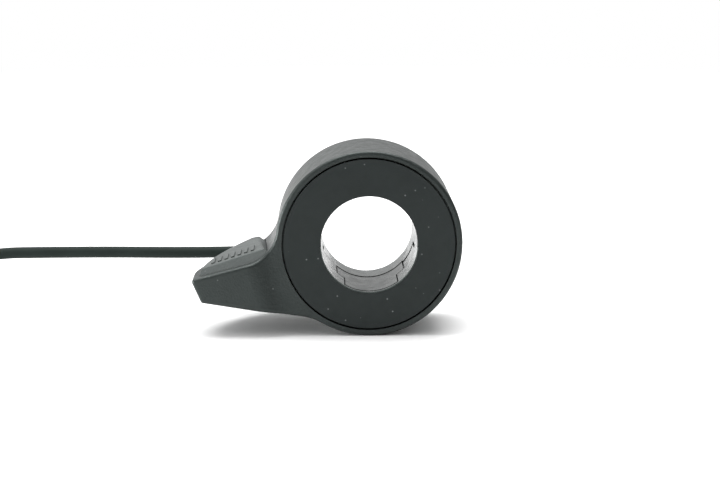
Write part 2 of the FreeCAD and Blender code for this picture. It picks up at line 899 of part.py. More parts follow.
relief_hole = new_sketch(housing, "YZ_Plane", "relief_hole")
bind(relief_hole, AttachmentOffset__Base__z=s.exit_wall - s.exit_left)
draw_circle(relief_hole, (cable_y, s.cable_height), s.relief_flange_radius)
relief_pocket = pocket(housing, relief_hole, s.exit_wall)

window = plan_sketch(housing, "shoe_window", 0)


def draw_shoe_plan(sketch, gap=0, front_gap=0, shoulder_gap=0, back_gap=0):
    """T-shaped plan of the shoe, narrow towards the front, and of its window with gaps all round."""
    narrow = s.shoe_narrow + gap
    wide = s.shoe_wide + gap
    front = at_depth(s.shoe_front) - front_gap
    shoulder = at_depth(s.shoe_shoulder) - shoulder_gap
    back = at_depth(s.shoe_back) + back_gap
    draw_loop(
        sketch,
        (s.shoe_offset - narrow, front), (s.shoe_offset + narrow, front),
        (s.shoe_offset + narrow, shoulder), (s.shoe_offset + wide, shoulder),
        (s.shoe_offset + wide, back), (s.shoe_offset - wide, back),
        (s.shoe_offset - wide, shoulder), (s.shoe_offset - narrow, shoulder),
    )


draw_shoe_plan(window, s.shoe_gap, s.shoe_front_gap, s.shoulder_gap, s.shoe_back_gap)
pocket(housing, window, sleeve_radius + s.shoe_gap)

insert_hole = plan_sketch(housing, "insert_hole", s.insert_length - s.clamp_boss_end)
draw_circle(insert_hole, (s.shoe_offset, at_depth(s.clamp_depth)), s.insert_radius)
pocket(housing, insert_hole, s.insert_length)

screw_hole = plan_sketch(housing, "screw_hole", -s.bore_radius)
draw_circle(screw_hole, (s.shoe_offset, at_depth(s.clamp_depth)), s.screw_radius + s.screw_hole_clearance)
pocket(housing, screw_hole, s.ring_radius - s.bore_radius)

slit = front_sketch(housing, "slit", s.slit_depth)
draw_sector(slit, s.bore_radius - 0.5, sleeve_radius + 0.2, s.slit_start_angle, s.slit_end_angle)
pocket(housing, slit, s.slit_width)

for name, angle, depth in (
    ("right_notch", s.right_notch_angle, s.right_notch_depth),
    ("left_notch", s.left_notch_angle, s.left_notch_depth),
):
    notch = front_sketch(housing, name, depth)
    draw_sector(
        notch, s.bore_radius - 0.5, sleeve_radius + 0.2,
        angle - s.notch_half_angle, angle + s.notch_half_angle,
    )
    pocket(housing, notch, s.notch_length)

screw_bores = front_sketch(housing, "cover_screw_bores", s.pillar_front + s.screw_land)
for angle in PILLAR_ANGLES:
    draw_circle(
        screw_bores, polar(s.pillar_orbit, angle), s.cover_screw_head_radius + s.screw_hole_clearance,
    )
pocket(housing, screw_bores, s.body_width - s.pillar_front)

screw_lands = front_sketch(housing, "cover_screw_holes", s.pillar_front)
for angle in PILLAR_ANGLES:
    draw_circle(
        screw_lands, polar(s.pillar_orbit, angle), s.cover_screw_radius + s.screw_hole_clearance,
    )
pocket(housing, screw_lands, s.screw_land)

board_screw_holes = front_sketch(housing, "board_screw_holes", rear_plate_depth - s.board_standoff)
for angle in BOARD_SCREW_ANGLES:
    draw_circle(board_screw_holes, polar(board_middle_radius, angle), s.board_screw_radius)
pocket(housing, board_screw_holes, s.board_standoff + s.cover_thickness / 2)

# Front cover: the dark disc in front, its spigot, three bosses and the two stops of the lug.

front_cover = new_body("front_cover")
cover_profile = radius_profile(
    front_cover, "cover_profile",
    (s.bore_radius + s.screw_hole_clearance / 2, 0), (s.cover_radius, 0),
    (s.cover_radius, s.cover_thickness), (spigot_radius, s.cover_thickness),
    (spigot_radius, s.cover_thickness + s.spigot_depth),
    (spigot_radius - s.spigot_wall, s.cover_thickness + s.spigot_depth),
    (spigot_radius - s.spigot_wall, s.cover_thickness),
    (s.bore_radius + s.screw_hole_clearance / 2, s.cover_thickness),
)
turned(front_cover, cover_profile)

cover_bosses = front_sketch(front_cover, "cover_bosses", s.pillar_front)
for angle in PILLAR_ANGLES:
    draw_circle(cover_bosses, polar(s.pillar_orbit, angle), s.pillar_radius)
pad(front_cover, cover_bosses, s.pillar_front - s.cover_thickness)

rest_stop_end = s.lug_angle - s.lug_half_angle - s.stop_clearance_angle
full_stop_start = s.lug_angle + s.lug_half_angle + s.lever_travel + s.stop_clearance_angle
stops = front_sketch(front_cover, "lug_stops", s.cover_thickness + s.stop_length)
draw_sector(
    stops, s.stop_inner_radius, s.stop_outer_radius, rest_stop_end - s.stop_angle, rest_stop_end,
)
draw_sector(
    stops, s.stop_inner_radius, s.stop_outer_radius, full_stop_start, full_stop_start + s.stop_angle,
)
pad(front_cover, stops, s.stop_length)

lip_room = front_sketch(front_cover, "lip_room", 0)
draw_sector(
    lip_room, s.bore_radius - 0.5, s.bore_radius + s.lip_wall + s.screw_hole_clearance / 2,
    269 - s.lip_angle / 2, 271 + s.lip_angle / 2,
)
pocket(front_cover, lip_room, s.cover_thickness)

boss_holes = front_sketch(front_cover, "boss_holes", s.cover_thickness + 1)
for angle in PILLAR_ANGLES:
    draw_circle(boss_holes, polar(s.pillar_orbit, angle), s.cover_screw_radius)
pocket(front_cover, boss_holes, s.pillar_front)

anchor_angle = s.lug_angle - s.spring_anchor_offset
anchor_hole = front_sketch(front_cover, "spring_anchor_hole", s.cover_thickness / 2)
draw_circle(
    anchor_hole, polar(s.spring_orbit - s.spigot_wall, anchor_angle),
    s.spring_wire + s.spring_hole_clearance,
)
pocket(front_cover, anchor_hole, s.cover_thickness)

# Screws of the front cover, driven from behind.

cover_screws = []
for number, angle in enumerate(PILLAR_ANGLES, start=1):
    shank = cylinder(f"cover_screw_shank_{number}", s.cover_screw_radius, s.cover_screw_length, "y")
    head = cylinder(
        f"cover_screw_head_{number}", s.cover_screw_head_radius, s.cover_screw_head_height, "y",
    )
    screw_x, screw_z = polar(s.pillar_orbit, angle)
    land_depth = s.pillar_front + s.screw_land
    place(shank, screw_x, at_depth(land_depth - s.cover_screw_length), screw_z)
    place(head, screw_x, at_depth(land_depth), screw_z)
    cover_screws.append(fused(f"cover_screw_{number}", [shank, head]))
grouped("cover_screws", cover_screws)

# Slide rings between the covers and the shoulders of the lever.

for label, depth in (
    ("front_slide_ring", s.cover_thickness),
    ("rear_slide_ring", rear_plate_depth - s.slide_ring_thickness),
):
    slide_ring = new_body(label)
    ring_outline = radius_profile(
        slide_ring, f"{label}_profile",
        (spigot_radius, depth), (s.cover_radius, depth),
        (s.cover_radius, depth + s.slide_ring_thickness),
        (spigot_radius, depth + s.slide_ring_thickness),
    )
    turned(slide_ring, ring_outline)

# Clamp shoe: a T-shaped piece of the sleeve's wall, pressed on the handlebar by the grub screw.

shoe_blank = new_body("clamp_shoe")
shoe_plan = plan_sketch(shoe_blank, "shoe_plan", -sleeve_radius)
draw_shoe_plan(shoe_plan)
pad(shoe_blank, shoe_plan, sleeve_radius - s.bore_radius * cosine(65))
shoe_bore = radius_profile(
    shoe_blank, "shoe_bore",
    (0, 0), (s.bore_radius + s.shoe_clearance, 0),
    (s.bore_radius + s.shoe_clearance, s.body_width), (0, s.body_width),
)
turned(shoe_blank, shoe_bore, cut=True)
shoe_lip_radius = s.bore_radius + s.lip_wall - s.shoe_clearance
shoe_step = s.cover_thickness + s.shoe_gap
shoe_outside = radius_profile(
    shoe_blank, "shoe_outside",
    (shoe_lip_radius, 0), (2 * sleeve_radius, 0),
    (2 * sleeve_radius, s.body_width), (sleeve_radius - s.shoe_clearance, s.body_width),
    (sleeve_radius - s.shoe_clearance, shoe_step), (shoe_lip_radius, shoe_step),
)
turned(shoe_blank, shoe_outside, cut=True)
shoe_boss = plan_sketch(shoe_blank, "shoe_boss", -sleeve_radius - s.shoe_boss_height)
draw_circle(shoe_boss, (s.shoe_offset, at_depth(s.clamp_depth)), s.shoe_boss_radius)
pad(shoe_blank, shoe_boss, s.shoe_boss_height + s.sleeve_wall / 2)

# Grub screw with its hexagon socket, and the threaded insert that it turns in.

grub_screw = new_body("grub_screw")
screw_top = sleeve_radius + s.shoe_boss_height
grub = plan_sketch(grub_screw, "grub_outline", -screw_top - s.screw_length)
draw_circle(grub, (s.shoe_offset, at_depth(s.clamp_depth)), s.screw_radius)
pad(grub_screw, grub, s.screw_length)
socket = plan_sketch(grub_screw, "key_socket", s.key_depth - screw_top - s.screw_length)
key_corner = s.key_size / 2 / cosine(30)
draw_loop(socket, *[
    (s.shoe_offset + key_corner * cosine(60 * side_number),
     at_depth(s.clamp_depth) + key_corner * sine(60 * side_number))
    for side_number in range(6)
])
pocket(grub_screw, socket, s.key_depth)

insert_body = new_body("threaded_insert")
insert_outline = plan_sketch(insert_body, "insert_outline", -s.clamp_boss_end)
draw_circle(insert_outline, (s.shoe_offset, at_depth(s.clamp_depth)), s.insert_radius)
draw_circle(insert_outline, (s.shoe_offset, at_depth(s.clamp_depth)), s.screw_radius + s.thread_clearance)
pad(insert_body, insert_outline, s.insert_length)

# Sensor board on its standoffs, with two screws, the sensor and its three leads.

board_back = rear_plate_depth - s.board_standoff
board_front = board_back - s.board_thickness
board = new_body("sensor_board")
board_outline = front_sketch(board, "board_outline", board_back)
draw_sector(
    board_outline, s.board_inner_radius, s.board_outer_radius, s.board_start_angle, s.board_end_angle,
)
for angle in BOARD_SCREW_ANGLES:
    draw_circle(
        board_outline, polar(board_middle_radius, angle), s.board_screw_radius + s.screw_hole_clearance,
    )
pad(board, board_outline, s.board_thickness)

board_screws = []
for number, angle in enumerate(BOARD_SCREW_ANGLES, start=1):
    shank_length = s.board_thickness + s.board_standoff + s.cover_thickness / 3
    shank = cylinder(f"board_screw_shank_{number}", s.board_screw_radius, shank_length, "y")
    head = cylinder(
        f"board_screw_head_{number}", s.board_screw_head_radius, s.board_screw_head_height, "y",
    )
    screw_x, screw_z = polar(board_middle_radius, angle)
    place(shank, screw_x, at_depth(board_front), screw_z)
    place(head, screw_x, at_depth(board_front - s.board_screw_head_height), screw_z)
    board_screws.append(fused(f"board_screw_{number}", [shank, head]))
grouped("board_screws", board_screws)

sensor_x, sensor_z = polar(s.sensor_orbit, s.sensor_angle)
sensor = doc.addObject("Part::Box", "hall_sensor")
bind(sensor, Length=s.sensor_width, Width=s.sensor_thickness, Height=s.sensor_height)
place(sensor, sensor_x - s.sensor_width / 2, at_depth(board_front - s.sensor_thickness),
      sensor_z - s.sensor_height / 2)
keep(sensor, "hall_sensor")

leads = []
for number in (-1, 0, 1):
    lead = doc.addObject("Part::Box", f"sensor_lead_{number + 2}")
    lead_drop = s.lead_width * 2
    bind(lead, Length=s.lead_width, Width=s.board_thickness / 2, Height=lead_drop)
    place(lead, sensor_x + s.lead_spacing * number - s.lead_width / 2,
          at_depth(board_front - s.board_thickness / 2), sensor_z - s.sensor_height / 2 - lead_drop)
    leads.append(lead)
grouped("sensor_leads", leads)

# Cables and wires: straight runs joined by tangent arcs.

def bend_radius(before, corner, after):
    """An arc as large as the two runs at a corner allow."""
    turn = (corner - before).getAngle(after - corner)
    shorter = min((corner - before).Length, (after - corner).Length)
    return 0.45 * shorter / math.tan(turn / 2), turn


def rounded_path(points):
    """One wire of straight runs and tangent arcs along a route, and the radii of its arcs."""
    edges = []
    radii = []
    start = points[0]
    for before, corner, after in zip(points, points[1:], points[2:]):
        radius, turn = bend_radius(before, corner, after)
        tangent = radius * math.tan(turn / 2)
        into = (before - corner).normalize()
        out = (after - corner).normalize()
        towards_centre = (into + out).normalize()
        middle = corner + towards_centre * (radius / math.cos(turn / 2) - radius)
        arc_start = corner + into * tangent
        arc_end = corner + out * tangent
        edges.append(Part.LineSegment(start, arc_start).toShape())
        edges.append(Part.Arc(arc_start, middle, arc_end).toShape())
        radii.append(radius)
        start = arc_end
    edges.append(Part.LineSegment(start, points[-1]).toShape())
    return Part.Wire(edges), radii


def tube(label, points, radius):
    """A round tube along a route, as a piece of its own, with its length."""
    path, radii = rounded_path(points)
    direction = points[1] - points[0]
    section = Part.Face(Part.Wire(Part.makeCircle(radius, points[0], direction)))
    item = doc.addObject("Part::Feature", label)
    item.Shape = path.makePipe(section)
    keep(item, label)
    expected = math.pi * radius ** 2 * path.Length
    print(label, "length", round(path.Length, 1), "volume over expected",
          round(item.Shape.Volume / expected, 4), "radii", [round(value, 1) for value in radii])
    return path.Length


def point_at(x, y, z):
    return FreeCAD.Vector(as_size(x).value, as_size(y).value, as_size(z).value)


# Return spring: coil round the sleeve, one leg into the front cover and one into the lug.

SPRING_STEP = 30.0


def from_bore(radius, angle, depth):
    x, z = polar(radius, angle)
    return point_at(x, at_depth(depth), z)


spring_sweep = 360 * s.spring_turns - s.spring_anchor_offset
step_count = round(spring_sweep.value / SPRING_STEP)
spring_back = s.spring_front + s.spring_pitch * spring_sweep / 360
anchor_orbit = s.spring_orbit - s.spigot_wall
spring_route = [
    from_bore(anchor_orbit, anchor_angle, s.cover_thickness / 2),
    from_bore(anchor_orbit, anchor_angle, s.spring_front),
]
for step in range(step_count + 1):
    share = step / step_count
    spring_route.append(from_bore(
        s.spring_radius, anchor_angle - spring_sweep * share,
        s.spring_front + (spring_back - s.spring_front) * share,
    ))
spring_route += [
    from_bore(s.spring_orbit, s.lug_angle, spring_back),
    from_bore(s.spring_orbit, s.lug_angle, s.lug_front + s.spring_anchor_depth),
]
tube("return_spring", spring_route, s.spring_wire.value)

# Cable from its exit to the coil.

relief_start = s.exit_wall - s.exit_left + s.relief_flange_thickness
cable_end = relief_start + s.cable_end_length
route = [point_at(cable_end, cable_y, s.cable_height)]
route += [point_at(x, y, floor_height + height) for x, y, height in CABLE_ROUTE]
cable_length = tube("cable", route, s.cable_radius.value)

# Strain relief: a tapered rubber sleeve on the cable, held in the wall by its inner flange.

strain_relief = new_body("strain_relief")
relief_sketch = new_sketch(strain_relief, "XY_Plane", "relief_profile")
relief_tip = -s.exit_left - s.relief_length
relief_bore = s.cable_radius - s.cable_squeeze
draw_loop(
    relief_sketch,
    (relief_start, relief_bore), (relief_start, s.relief_flange_radius + s.relief_flange_rise),
    (s.exit_wall - s.exit_left, s.relief_flange_radius + s.relief_flange_rise),
    (s.exit_wall - s.exit_left, s.relief_flange_radius),
    (-s.exit_left, s.relief_flange_radius), (-s.exit_left, s.relief_root_radius),
    (relief_tip, s.relief_end_radius), (relief_tip, relief_bore),
)
relief = strain_relief.newObject("PartDesign::Revolution", "relief_turned")
relief.Profile = relief_sketch
relief.ReferenceAxis = (relief_sketch, ["H_Axis"])
relief.Angle = 360
place(strain_relief, 0, cable_y, s.cable_height)

# Cap that closes the cable exit from behind.

exit_cap = doc.addObject("Part::Box", "exit_cap")
bind(exit_cap, Length=s.exit_left - s.exit_right, Width=s.exit_cap_thickness, Height=s.exit_height)
place(exit_cap, -s.exit_left, at_depth(s.body_width + s.exit_length),
      s.cable_height - s.exit_height / 2)
keep(exit_cap, "exit_cap")

# The cable's three wires, from its end to the sensor board.

for label, number in (("supply_wire", -1), ("signal_wire", 0), ("ground_wire", 1)):
    wire_x = s.wire_hole_across - s.wire_spacing * number
    wire_z = s.cable_height + s.wire_spacing * number
    tube(label, [
        point_at(-wire_x, at_depth(board_back + s.wire_end_gap), s.cable_height + s.wire_board_rise),
        point_at(-wire_x, cable_y, wire_z),
        point_at(cable_end, cable_y, wire_z),
    ], s.wire_radius.value)

# Coil of the spare cable, on the surface, as its outer shape.

route_end = route[-1]
coil_half_width = s.cable_radius * s.coil_columns
outer_turn = s.coil_middle_radius + s.cable_radius * (s.coil_columns - 1)
coil = new_body("cable_coil")
coil_sketch = new_sketch(coil, "XZ_Plane", "coil_profile")
coil_inner = s.coil_middle_radius - coil_half_width
coil_outer = s.coil_middle_radius + coil_half_width
corner = s.cable_radius
draw_loop(
    coil_sketch,
    (coil_inner + corner, 0), (coil_outer - corner, 0), Bend(corner, 1),
    (coil_outer, corner), (coil_outer, coil_height - corner), Bend(corner, 1),
    (coil_outer - corner, coil_height), (coil_inner + corner, coil_height), Bend(corner, 1),
    (coil_inner, coil_height - corner), (coil_inner, corner), Bend(corner, 1),
)
turned(coil, coil_sketch)
place(coil, route_end.x, route_end.y - outer_turn, floor_height)

# Tail of the cable and its three-pin round connector, beside the coil.

plug_radius = s.cable_radius * (2 * s.coil_layers - 1)
plug_z = floor_height + plug_radius


def along_tail(label, radius, length, distance):
    """A cylinder on the tail's line, ending at a distance from the coil."""
    item = cylinder(label, radius, length, "x")
    place(item, route_end.x - as_size(distance), route_end.y, plug_z)
    return item


keep(along_tail("cable_tail", s.cable_radius, s.tail_length, s.tail_length), "cable_tail")

boot = doc.addObject("Part::Cone", "connector_boot")
boot.Placement = FreeCAD.Placement(FreeCAD.Vector(0, 0, 0), FreeCAD.Rotation(Y_AXIS, 90))
boot_end = s.tail_length + s.boot_length
bind(boot, Radius1=plug_radius - s.collar_wall, Radius2=s.boot_end_radius, Height=s.boot_length)
place(boot, route_end.x - boot_end, route_end.y, plug_z)
keep(boot, "connector_boot")

plug_end = boot_end + s.plug_length
plug_blank = along_tail("plug_blank", plug_radius - s.collar_wall, s.plug_length, plug_end)
plug_socket = along_tail("plug_socket", s.plug_socket_radius, s.plug_socket_depth, plug_end)
keep(cut_away("connector_body", plug_blank, plug_socket), "connector_body")

collar_end = boot_end + s.collar_setback + s.collar_length
collar_blank = along_tail("collar_blank", plug_radius, s.collar_length, collar_end)
collar_bore = along_tail("collar_bore", plug_radius - s.collar_wall, s.collar_length, collar_end)
keep(cut_away("connector_collar", collar_blank, collar_bore), "connector_collar")

seal = doc.addObject("Part::Torus", "connector_seal")
seal.Placement = FreeCAD.Placement(FreeCAD.Vector(0, 0, 0), FreeCAD.Rotation(Y_AXIS, 90))
bind(seal, Radius1=s.plug_socket_radius - s.seal_radius, Radius2=s.seal_radius)
place(seal, route_end.x - (plug_end - s.seal_setback), route_end.y, plug_z)
keep(seal, "connector_seal")

pins = []
for number, pin_angle in enumerate((90, 210, 330), start=1):
    pin = along_tail(f"connector_pin_{number}", s.pin_radius, s.pin_length,
                     plug_end - s.plug_socket_depth + s.pin_length)
    pin_y, pin_z = polar(s.pin_orbit, pin_angle)
    bind(pin, Placement__Base__y=route_end.y + pin_y, Placement__Base__z=plug_z + pin_z)
    pins.append(pin)
grouped("connector_pins", pins)

coil_length = 2 * math.pi * s.coil_middle_radius * s.coil_turns
whole_length = cable_length + coil_length.value + s.tail_length.value
print("whole cable", round(whole_length, 1))

# Check every object before anything is written, then write each piece to a file of its own.

doc.recompute()
failed = [item.Label for item in doc.Objects if {"Invalid", "Error"} & set(item.State)]
failed += [item.Label for item in parts if item.Shape.isNull() or not item.Shape.isValid()]
if failed:
    raise RuntimeError("failed objects: " + ", ".join(failed))

os.makedirs("parts", exist_ok=True)
for item in parts:
    item.Shape.exportStep(f"parts/{item.Label}.step")
    print(item.Label, len(item.Shape.Solids), round(item.Shape.Volume, 2))
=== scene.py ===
import math

import bpy
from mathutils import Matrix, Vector


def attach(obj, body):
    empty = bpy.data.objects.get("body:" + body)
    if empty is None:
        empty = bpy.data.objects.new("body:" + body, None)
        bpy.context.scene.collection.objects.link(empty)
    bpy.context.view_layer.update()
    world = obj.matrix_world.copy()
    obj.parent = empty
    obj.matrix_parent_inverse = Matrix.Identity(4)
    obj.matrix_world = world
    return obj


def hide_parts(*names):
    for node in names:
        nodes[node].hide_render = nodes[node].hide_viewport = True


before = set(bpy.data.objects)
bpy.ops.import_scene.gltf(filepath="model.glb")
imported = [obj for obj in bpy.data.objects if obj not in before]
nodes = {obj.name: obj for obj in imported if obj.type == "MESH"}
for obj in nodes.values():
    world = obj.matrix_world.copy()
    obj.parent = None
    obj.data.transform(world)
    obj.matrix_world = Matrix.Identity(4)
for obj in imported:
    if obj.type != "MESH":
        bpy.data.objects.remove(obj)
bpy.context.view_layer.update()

# Lengths and places are in metres, apart from the cable's route, and angles are in degrees.

# Camera, fitted to the round edges of the object in the photograph.
CAMERA_PLACE = (-0.01115, -0.40994, 0.07373)
CAMERA_DOWN = 10.38
CAMERA_YAW = 1.30
FOCAL_PIXELS = 1756
IMAGE_WIDTH = 720
SENSOR_WIDTH = 36
NEAREST_SEEN = 0.01

FLOOR_Z = -0.0216
FLOOR_SIDE = 8

# Distances at which the paper's white begins to turn into light, and at which it has.
PAPER_REACH = 0.30
PAPER_END = 0.75
PAPER_COLOUR = (0.93, 0.93, 0.93)
PAPER_ROUGHNESS = 0.9
PAPER_GLOSS = 0.1

# The world's light by direction: axis, from, to, and its strength at each of the two.
DEPTH_LIGHT = ("Y", -0.60, 0.25, 0.03, 1.0)
ABOVE_LIGHT = ("Z", 0.20, 0.85, 0.0, 1.3)
SIDE_LIGHT = ("X", -0.6, 0.45, 1.20, 0.70)
WHITE = (1, 1, 1, 1)

# Lamps, which point at the origin: name, place, width, height and watts.
LAMPS = (
    ("top_lamp", (-0.05, 0.14, 0.76), 0.8, 0.5, 8.5),
    ("left_lamp", (-0.80, -0.15, 0.015), 0.5, 0.06, 9.0),
)

# Cable, as in the part's source: points are (x, y, height above the surface) in millimetres.
CABLE_RADIUS = 0.0014
CABLE_START = (-0.0167, 0.01725, -0.0072)
CABLE_ROUTE = (
    (-28.0, 17.25, 14.40),
    (-46.0, 17.55, 14.15),
    (-62.0, 18.00, 14.30),
    (-78.0, 18.40, 14.20),
    (-93.0, 18.70, 14.00),
    (-103.0, 18.90, 10.20),
    (-112.0, 19.10, 4.10),
    (-121.0, 19.25, 1.40),
    (-130.0, 19.30, 1.40),
)
TAIL_LENGTH = 0.013

# Coil: where round it the cable starts, and the stretches over which it moves to the next
# column inwards, up to the upper layer, and to the next column outwards.
COIL_MIDDLE_RADIUS = 0.0154
COIL_TURNS = 5
COIL_START = 90
INWARD_STRETCHES = ((270, 315), (630, 675))
UPWARD_STRETCHES = ((945, 990),)
OUTWARD_STRETCHES = ((1260, 1305), (1620, 1665))
DEGREES_A_POINT = 15


# Camera

def add_camera():
    data = bpy.data.cameras.new("camera")
    data.sensor_width = SENSOR_WIDTH
    data.lens = SENSOR_WIDTH * FOCAL_PIXELS / IMAGE_WIDTH
    data.clip_start = NEAREST_SEEN
    camera = bpy.data.objects.new("camera", data)
    camera.location = CAMERA_PLACE
    camera.rotation_euler = (
        math.pi / 2 - math.radians(CAMERA_DOWN), 0, -math.radians(CAMERA_YAW),
    )
    bpy.context.collection.objects.link(camera)
    bpy.context.scene.camera = camera


# Cable

def ease(share):
    return share * share * (3 - 2 * share)


def moved(angle, stretches, change):
    """How far a value has moved at an angle, if it changes smoothly over each stretch."""
    total = 0
    for begin, end in stretches:
        share = min(max((angle - begin) / (end - begin), 0), 1)
        total += change * ease(share)
    return total


def coil_points(centre_x, centre_y):
    """Three columns on the surface, wound inwards, and then three on top, wound outwards."""
    column = 2 * CABLE_RADIUS
    outer = COIL_MIDDLE_RADIUS + column
    points = []
    for step in range(1, COIL_TURNS * 360 // DEGREES_A_POINT + 1):
        angle = step * DEGREES_A_POINT
        radius = (
            outer
            + moved(angle, INWARD_STRETCHES, -column)
            + moved(angle, OUTWARD_STRETCHES, column)
        )
        height = CABLE_RADIUS + moved(angle, UPWARD_STRETCHES, column)
        turn = math.radians(COIL_START + angle)
        points.append((
            centre_x + radius * math.cos(turn),
            centre_y + radius * math.sin(turn),
            FLOOR_Z + height,
        ))
    return points


def cable_points():
    points = [CABLE_START]
    for x, y, height in CABLE_ROUTE:
        points.append((x / 1000, y / 1000, FLOOR_Z + height / 1000))
    end_x, end_y, _ = points[-1]
    points += coil_points(end_x, end_y - COIL_MIDDLE_RADIUS - 2 * CABLE_RADIUS)
    last_x, last_y, last_z = points[-1]
    points.append((last_x - TAIL_LENGTH / 2, last_y, last_z))
    points.append((last_x - TAIL_LENGTH, last_y, last_z))
    return points


def add_cable(material):
    """One smooth spline through the coil to the connector, as thick as the cable."""
    data = bpy.data.curves.new("throttle_cable", "CURVE")
    data.dimensions = "3D"
    data.bevel_depth = CABLE_RADIUS
    data.bevel_resolution = 10
    data.resolution_u = 8
    data.use_fill_caps = True
    points = cable_points()
    spline = data.splines.new("NURBS")
    spline.points.add(len(points) - 1)
    for spline_point, place in zip(spline.points, points):
        spline_point.co = (*place, 1)
    spline.order_u = 3
    spline.use_endpoint_u = True
    spline.use_smooth = True
    cable = bpy.data.objects.new("throttle_cable", data)
    bpy.context.collection.objects.link(cable)
    data.materials.append(material)
    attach(cable, "core")
    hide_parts("cable", "cable_coil", "cable_tail")


# Materials

class Nodes:
    """A material's node tree, with short ways to add and join nodes."""

    def __init__(self, name):
        self.material = bpy.data.materials.new(name)
        self.material.use_nodes = True
        self.tree = self.material.node_tree
        self.shader = self.tree.nodes["Principled BSDF"]

    def add(self, kind, **values):
        node = self.tree.nodes.new(kind)
        for name, value in values.items():
            if name in node.bl_rna.properties:
                setattr(node, name, value)
            else:
                node.inputs[name.replace("_", " ")].default_value = value
        return node

    def join(self, source, target):
        self.tree.links.new(source, target)

    def place(self):
        return self.add("ShaderNodeTexCoord").outputs["Object"]

    def noise(self, scale, detail=2.0, roughness=0.5):
        node = self.add("ShaderNodeTexNoise", Scale=scale, Detail=detail, Roughness=roughness)
        self.join(self.place(), node.inputs["Vector"])
        return node.outputs["Fac"]

    def spread(self, value, low, high, to_low, to_high):
        node = self.add(
            "ShaderNodeMapRange", From_Min=low, From_Max=high, To_Min=to_low, To_Max=to_high,
        )
        self.join(value, node.inputs["Value"])
        return node.outputs["Result"]

    def mix(self, share, first, second):
        node = self.add("ShaderNodeMix", data_type="RGBA")
        for index, colour in ((6, first), (7, second)):
            if isinstance(colour, tuple):
                node.inputs[index].default_value = (*colour, 1)
            else:
                self.join(colour, node.inputs[index])
        self.join(share, node.inputs[0])
        return node.outputs[2]

    def bump(self, height, distance):
        node = self.add("ShaderNodeBump", Strength=1.0, Distance=distance)
        self.join(height, node.inputs["Height"])
        return node.outputs["Normal"]

    def finish(self, colour, roughness, normal=None, **sockets):
        for value, socket in ((colour, "Base Color"), (roughness, "Roughness")):
            if isinstance(value, (int, float)):
                self.shader.inputs[socket].default_value = value
            elif isinstance(value, tuple):
                self.shader.inputs[socket].default_value = (*value, 1)
            else:
                self.join(value, self.shader.inputs[socket])
        if normal is not None:
            self.join(normal, self.shader.inputs["Normal"])
        for name, value in sockets.items():
            self.shader.inputs[name.replace("_", " ")].default_value = value
        return self.material


# Texture scales are cells or waves a metre. NOISE_BAND is where most of a noise's values lie.
NOISE_BAND = (0.3, 0.7)
MOTTLE_SCALE = 90
MOTTLE_SHADES = (0.88, 1.12)
GLOSS_SCALE = 500

# Faint green of the light that the dark plastic throws back.
GLOSS_TINT = (0.89, 1.0, 0.97, 1.0)

# Dust: cells that may hold a speck, the speck's edge, and how rarely one shows.
DUST_SCALE = 520.0
DUST_EDGE = (0.04, 0.13)
DUST_PATCH_SCALE = 300
DUST_PATCHES = (0.56, 0.64)
DUST_COLOUR = (0.20, 0.21, 0.21)

METAL_SCALE = 2500
METAL_SHADES = (0.85, 1.1)
METAL_DEPTH = 0.000004

RUBBER_SCALE = 2600
RUBBER_MOTTLE_SCALE = 160
RUBBER_SHADES = (0.8, 1.2)
RUBBER_DEPTH = 0.00001


def scaled(colour, factor):
    return tuple(channel * factor for channel in colour)


def dusted(n, tone, amount):
    """The tone with small pale specks, in a few patches only."""
    cells = n.add("ShaderNodeTexVoronoi", Scale=DUST_SCALE, Randomness=1.0)
    n.join(n.place(), cells.inputs["Vector"])
    dots = n.spread(cells.outputs["Distance"], *DUST_EDGE, 1.0, 0.0)
    rare = n.spread(n.noise(DUST_PATCH_SCALE, detail=0.0), *DUST_PATCHES, 0.0, amount)
    dust = n.add("ShaderNodeMath", operation="MULTIPLY")
    n.join(dots, dust.inputs[0])
    n.join(rare, dust.inputs[1])
    return n.mix(dust.outputs[0], tone, DUST_COLOUR)


def moulded_plastic(name, colour, roughness, grain, depth, specks=0.0, gloss=0.5):
    """Moulded plastic with a fine eroded grain, slight mottling and maybe a few specks of dust."""
    n = Nodes(name)
    fine = n.noise(grain, detail=3.0, roughness=0.6)
    dark, light = MOTTLE_SHADES
    shade = n.spread(n.noise(MOTTLE_SCALE, detail=3.0), *NOISE_BAND, 0.0, 1.0)
    tone = n.mix(shade, scaled(colour, dark), scaled(colour, light))
    if specks:
        tone = dusted(n, tone, specks)
    rough = n.spread(n.noise(GLOSS_SCALE), *NOISE_BAND, roughness - 0.05, roughness + 0.06)
    return n.finish(
        tone, rough, n.bump(fine, depth), Specular_IOR_Level=gloss, Specular_Tint=GLOSS_TINT,
    )


def brushed_metal(name, colour, roughness):
    n = Nodes(name)
    fine = n.noise(METAL_SCALE)
    dark, light = METAL_SHADES
    tone = n.mix(fine, scaled(colour, dark), scaled(colour, light))
    rough = n.spread(fine, *NOISE_BAND, roughness - 0.06, roughness + 0.08)
    return n.finish(tone, rough, n.bump(fine, METAL_DEPTH), Metallic=1.0)


def rubber(name, colour, roughness, gloss=0.5):
    n = Nodes(name)
    fine = n.noise(RUBBER_SCALE)
    dark, light = RUBBER_SHADES
    mottle = n.noise(RUBBER_MOTTLE_SCALE, detail=3.0)
    tone = n.mix(mottle, scaled(colour, dark), scaled(colour, light))
    rough = n.spread(fine, *NOISE_BAND, roughness - 0.05, roughness + 0.05)
    return n.finish(tone, rough, n.bump(fine, RUBBER_DEPTH), Specular_IOR_Level=gloss)


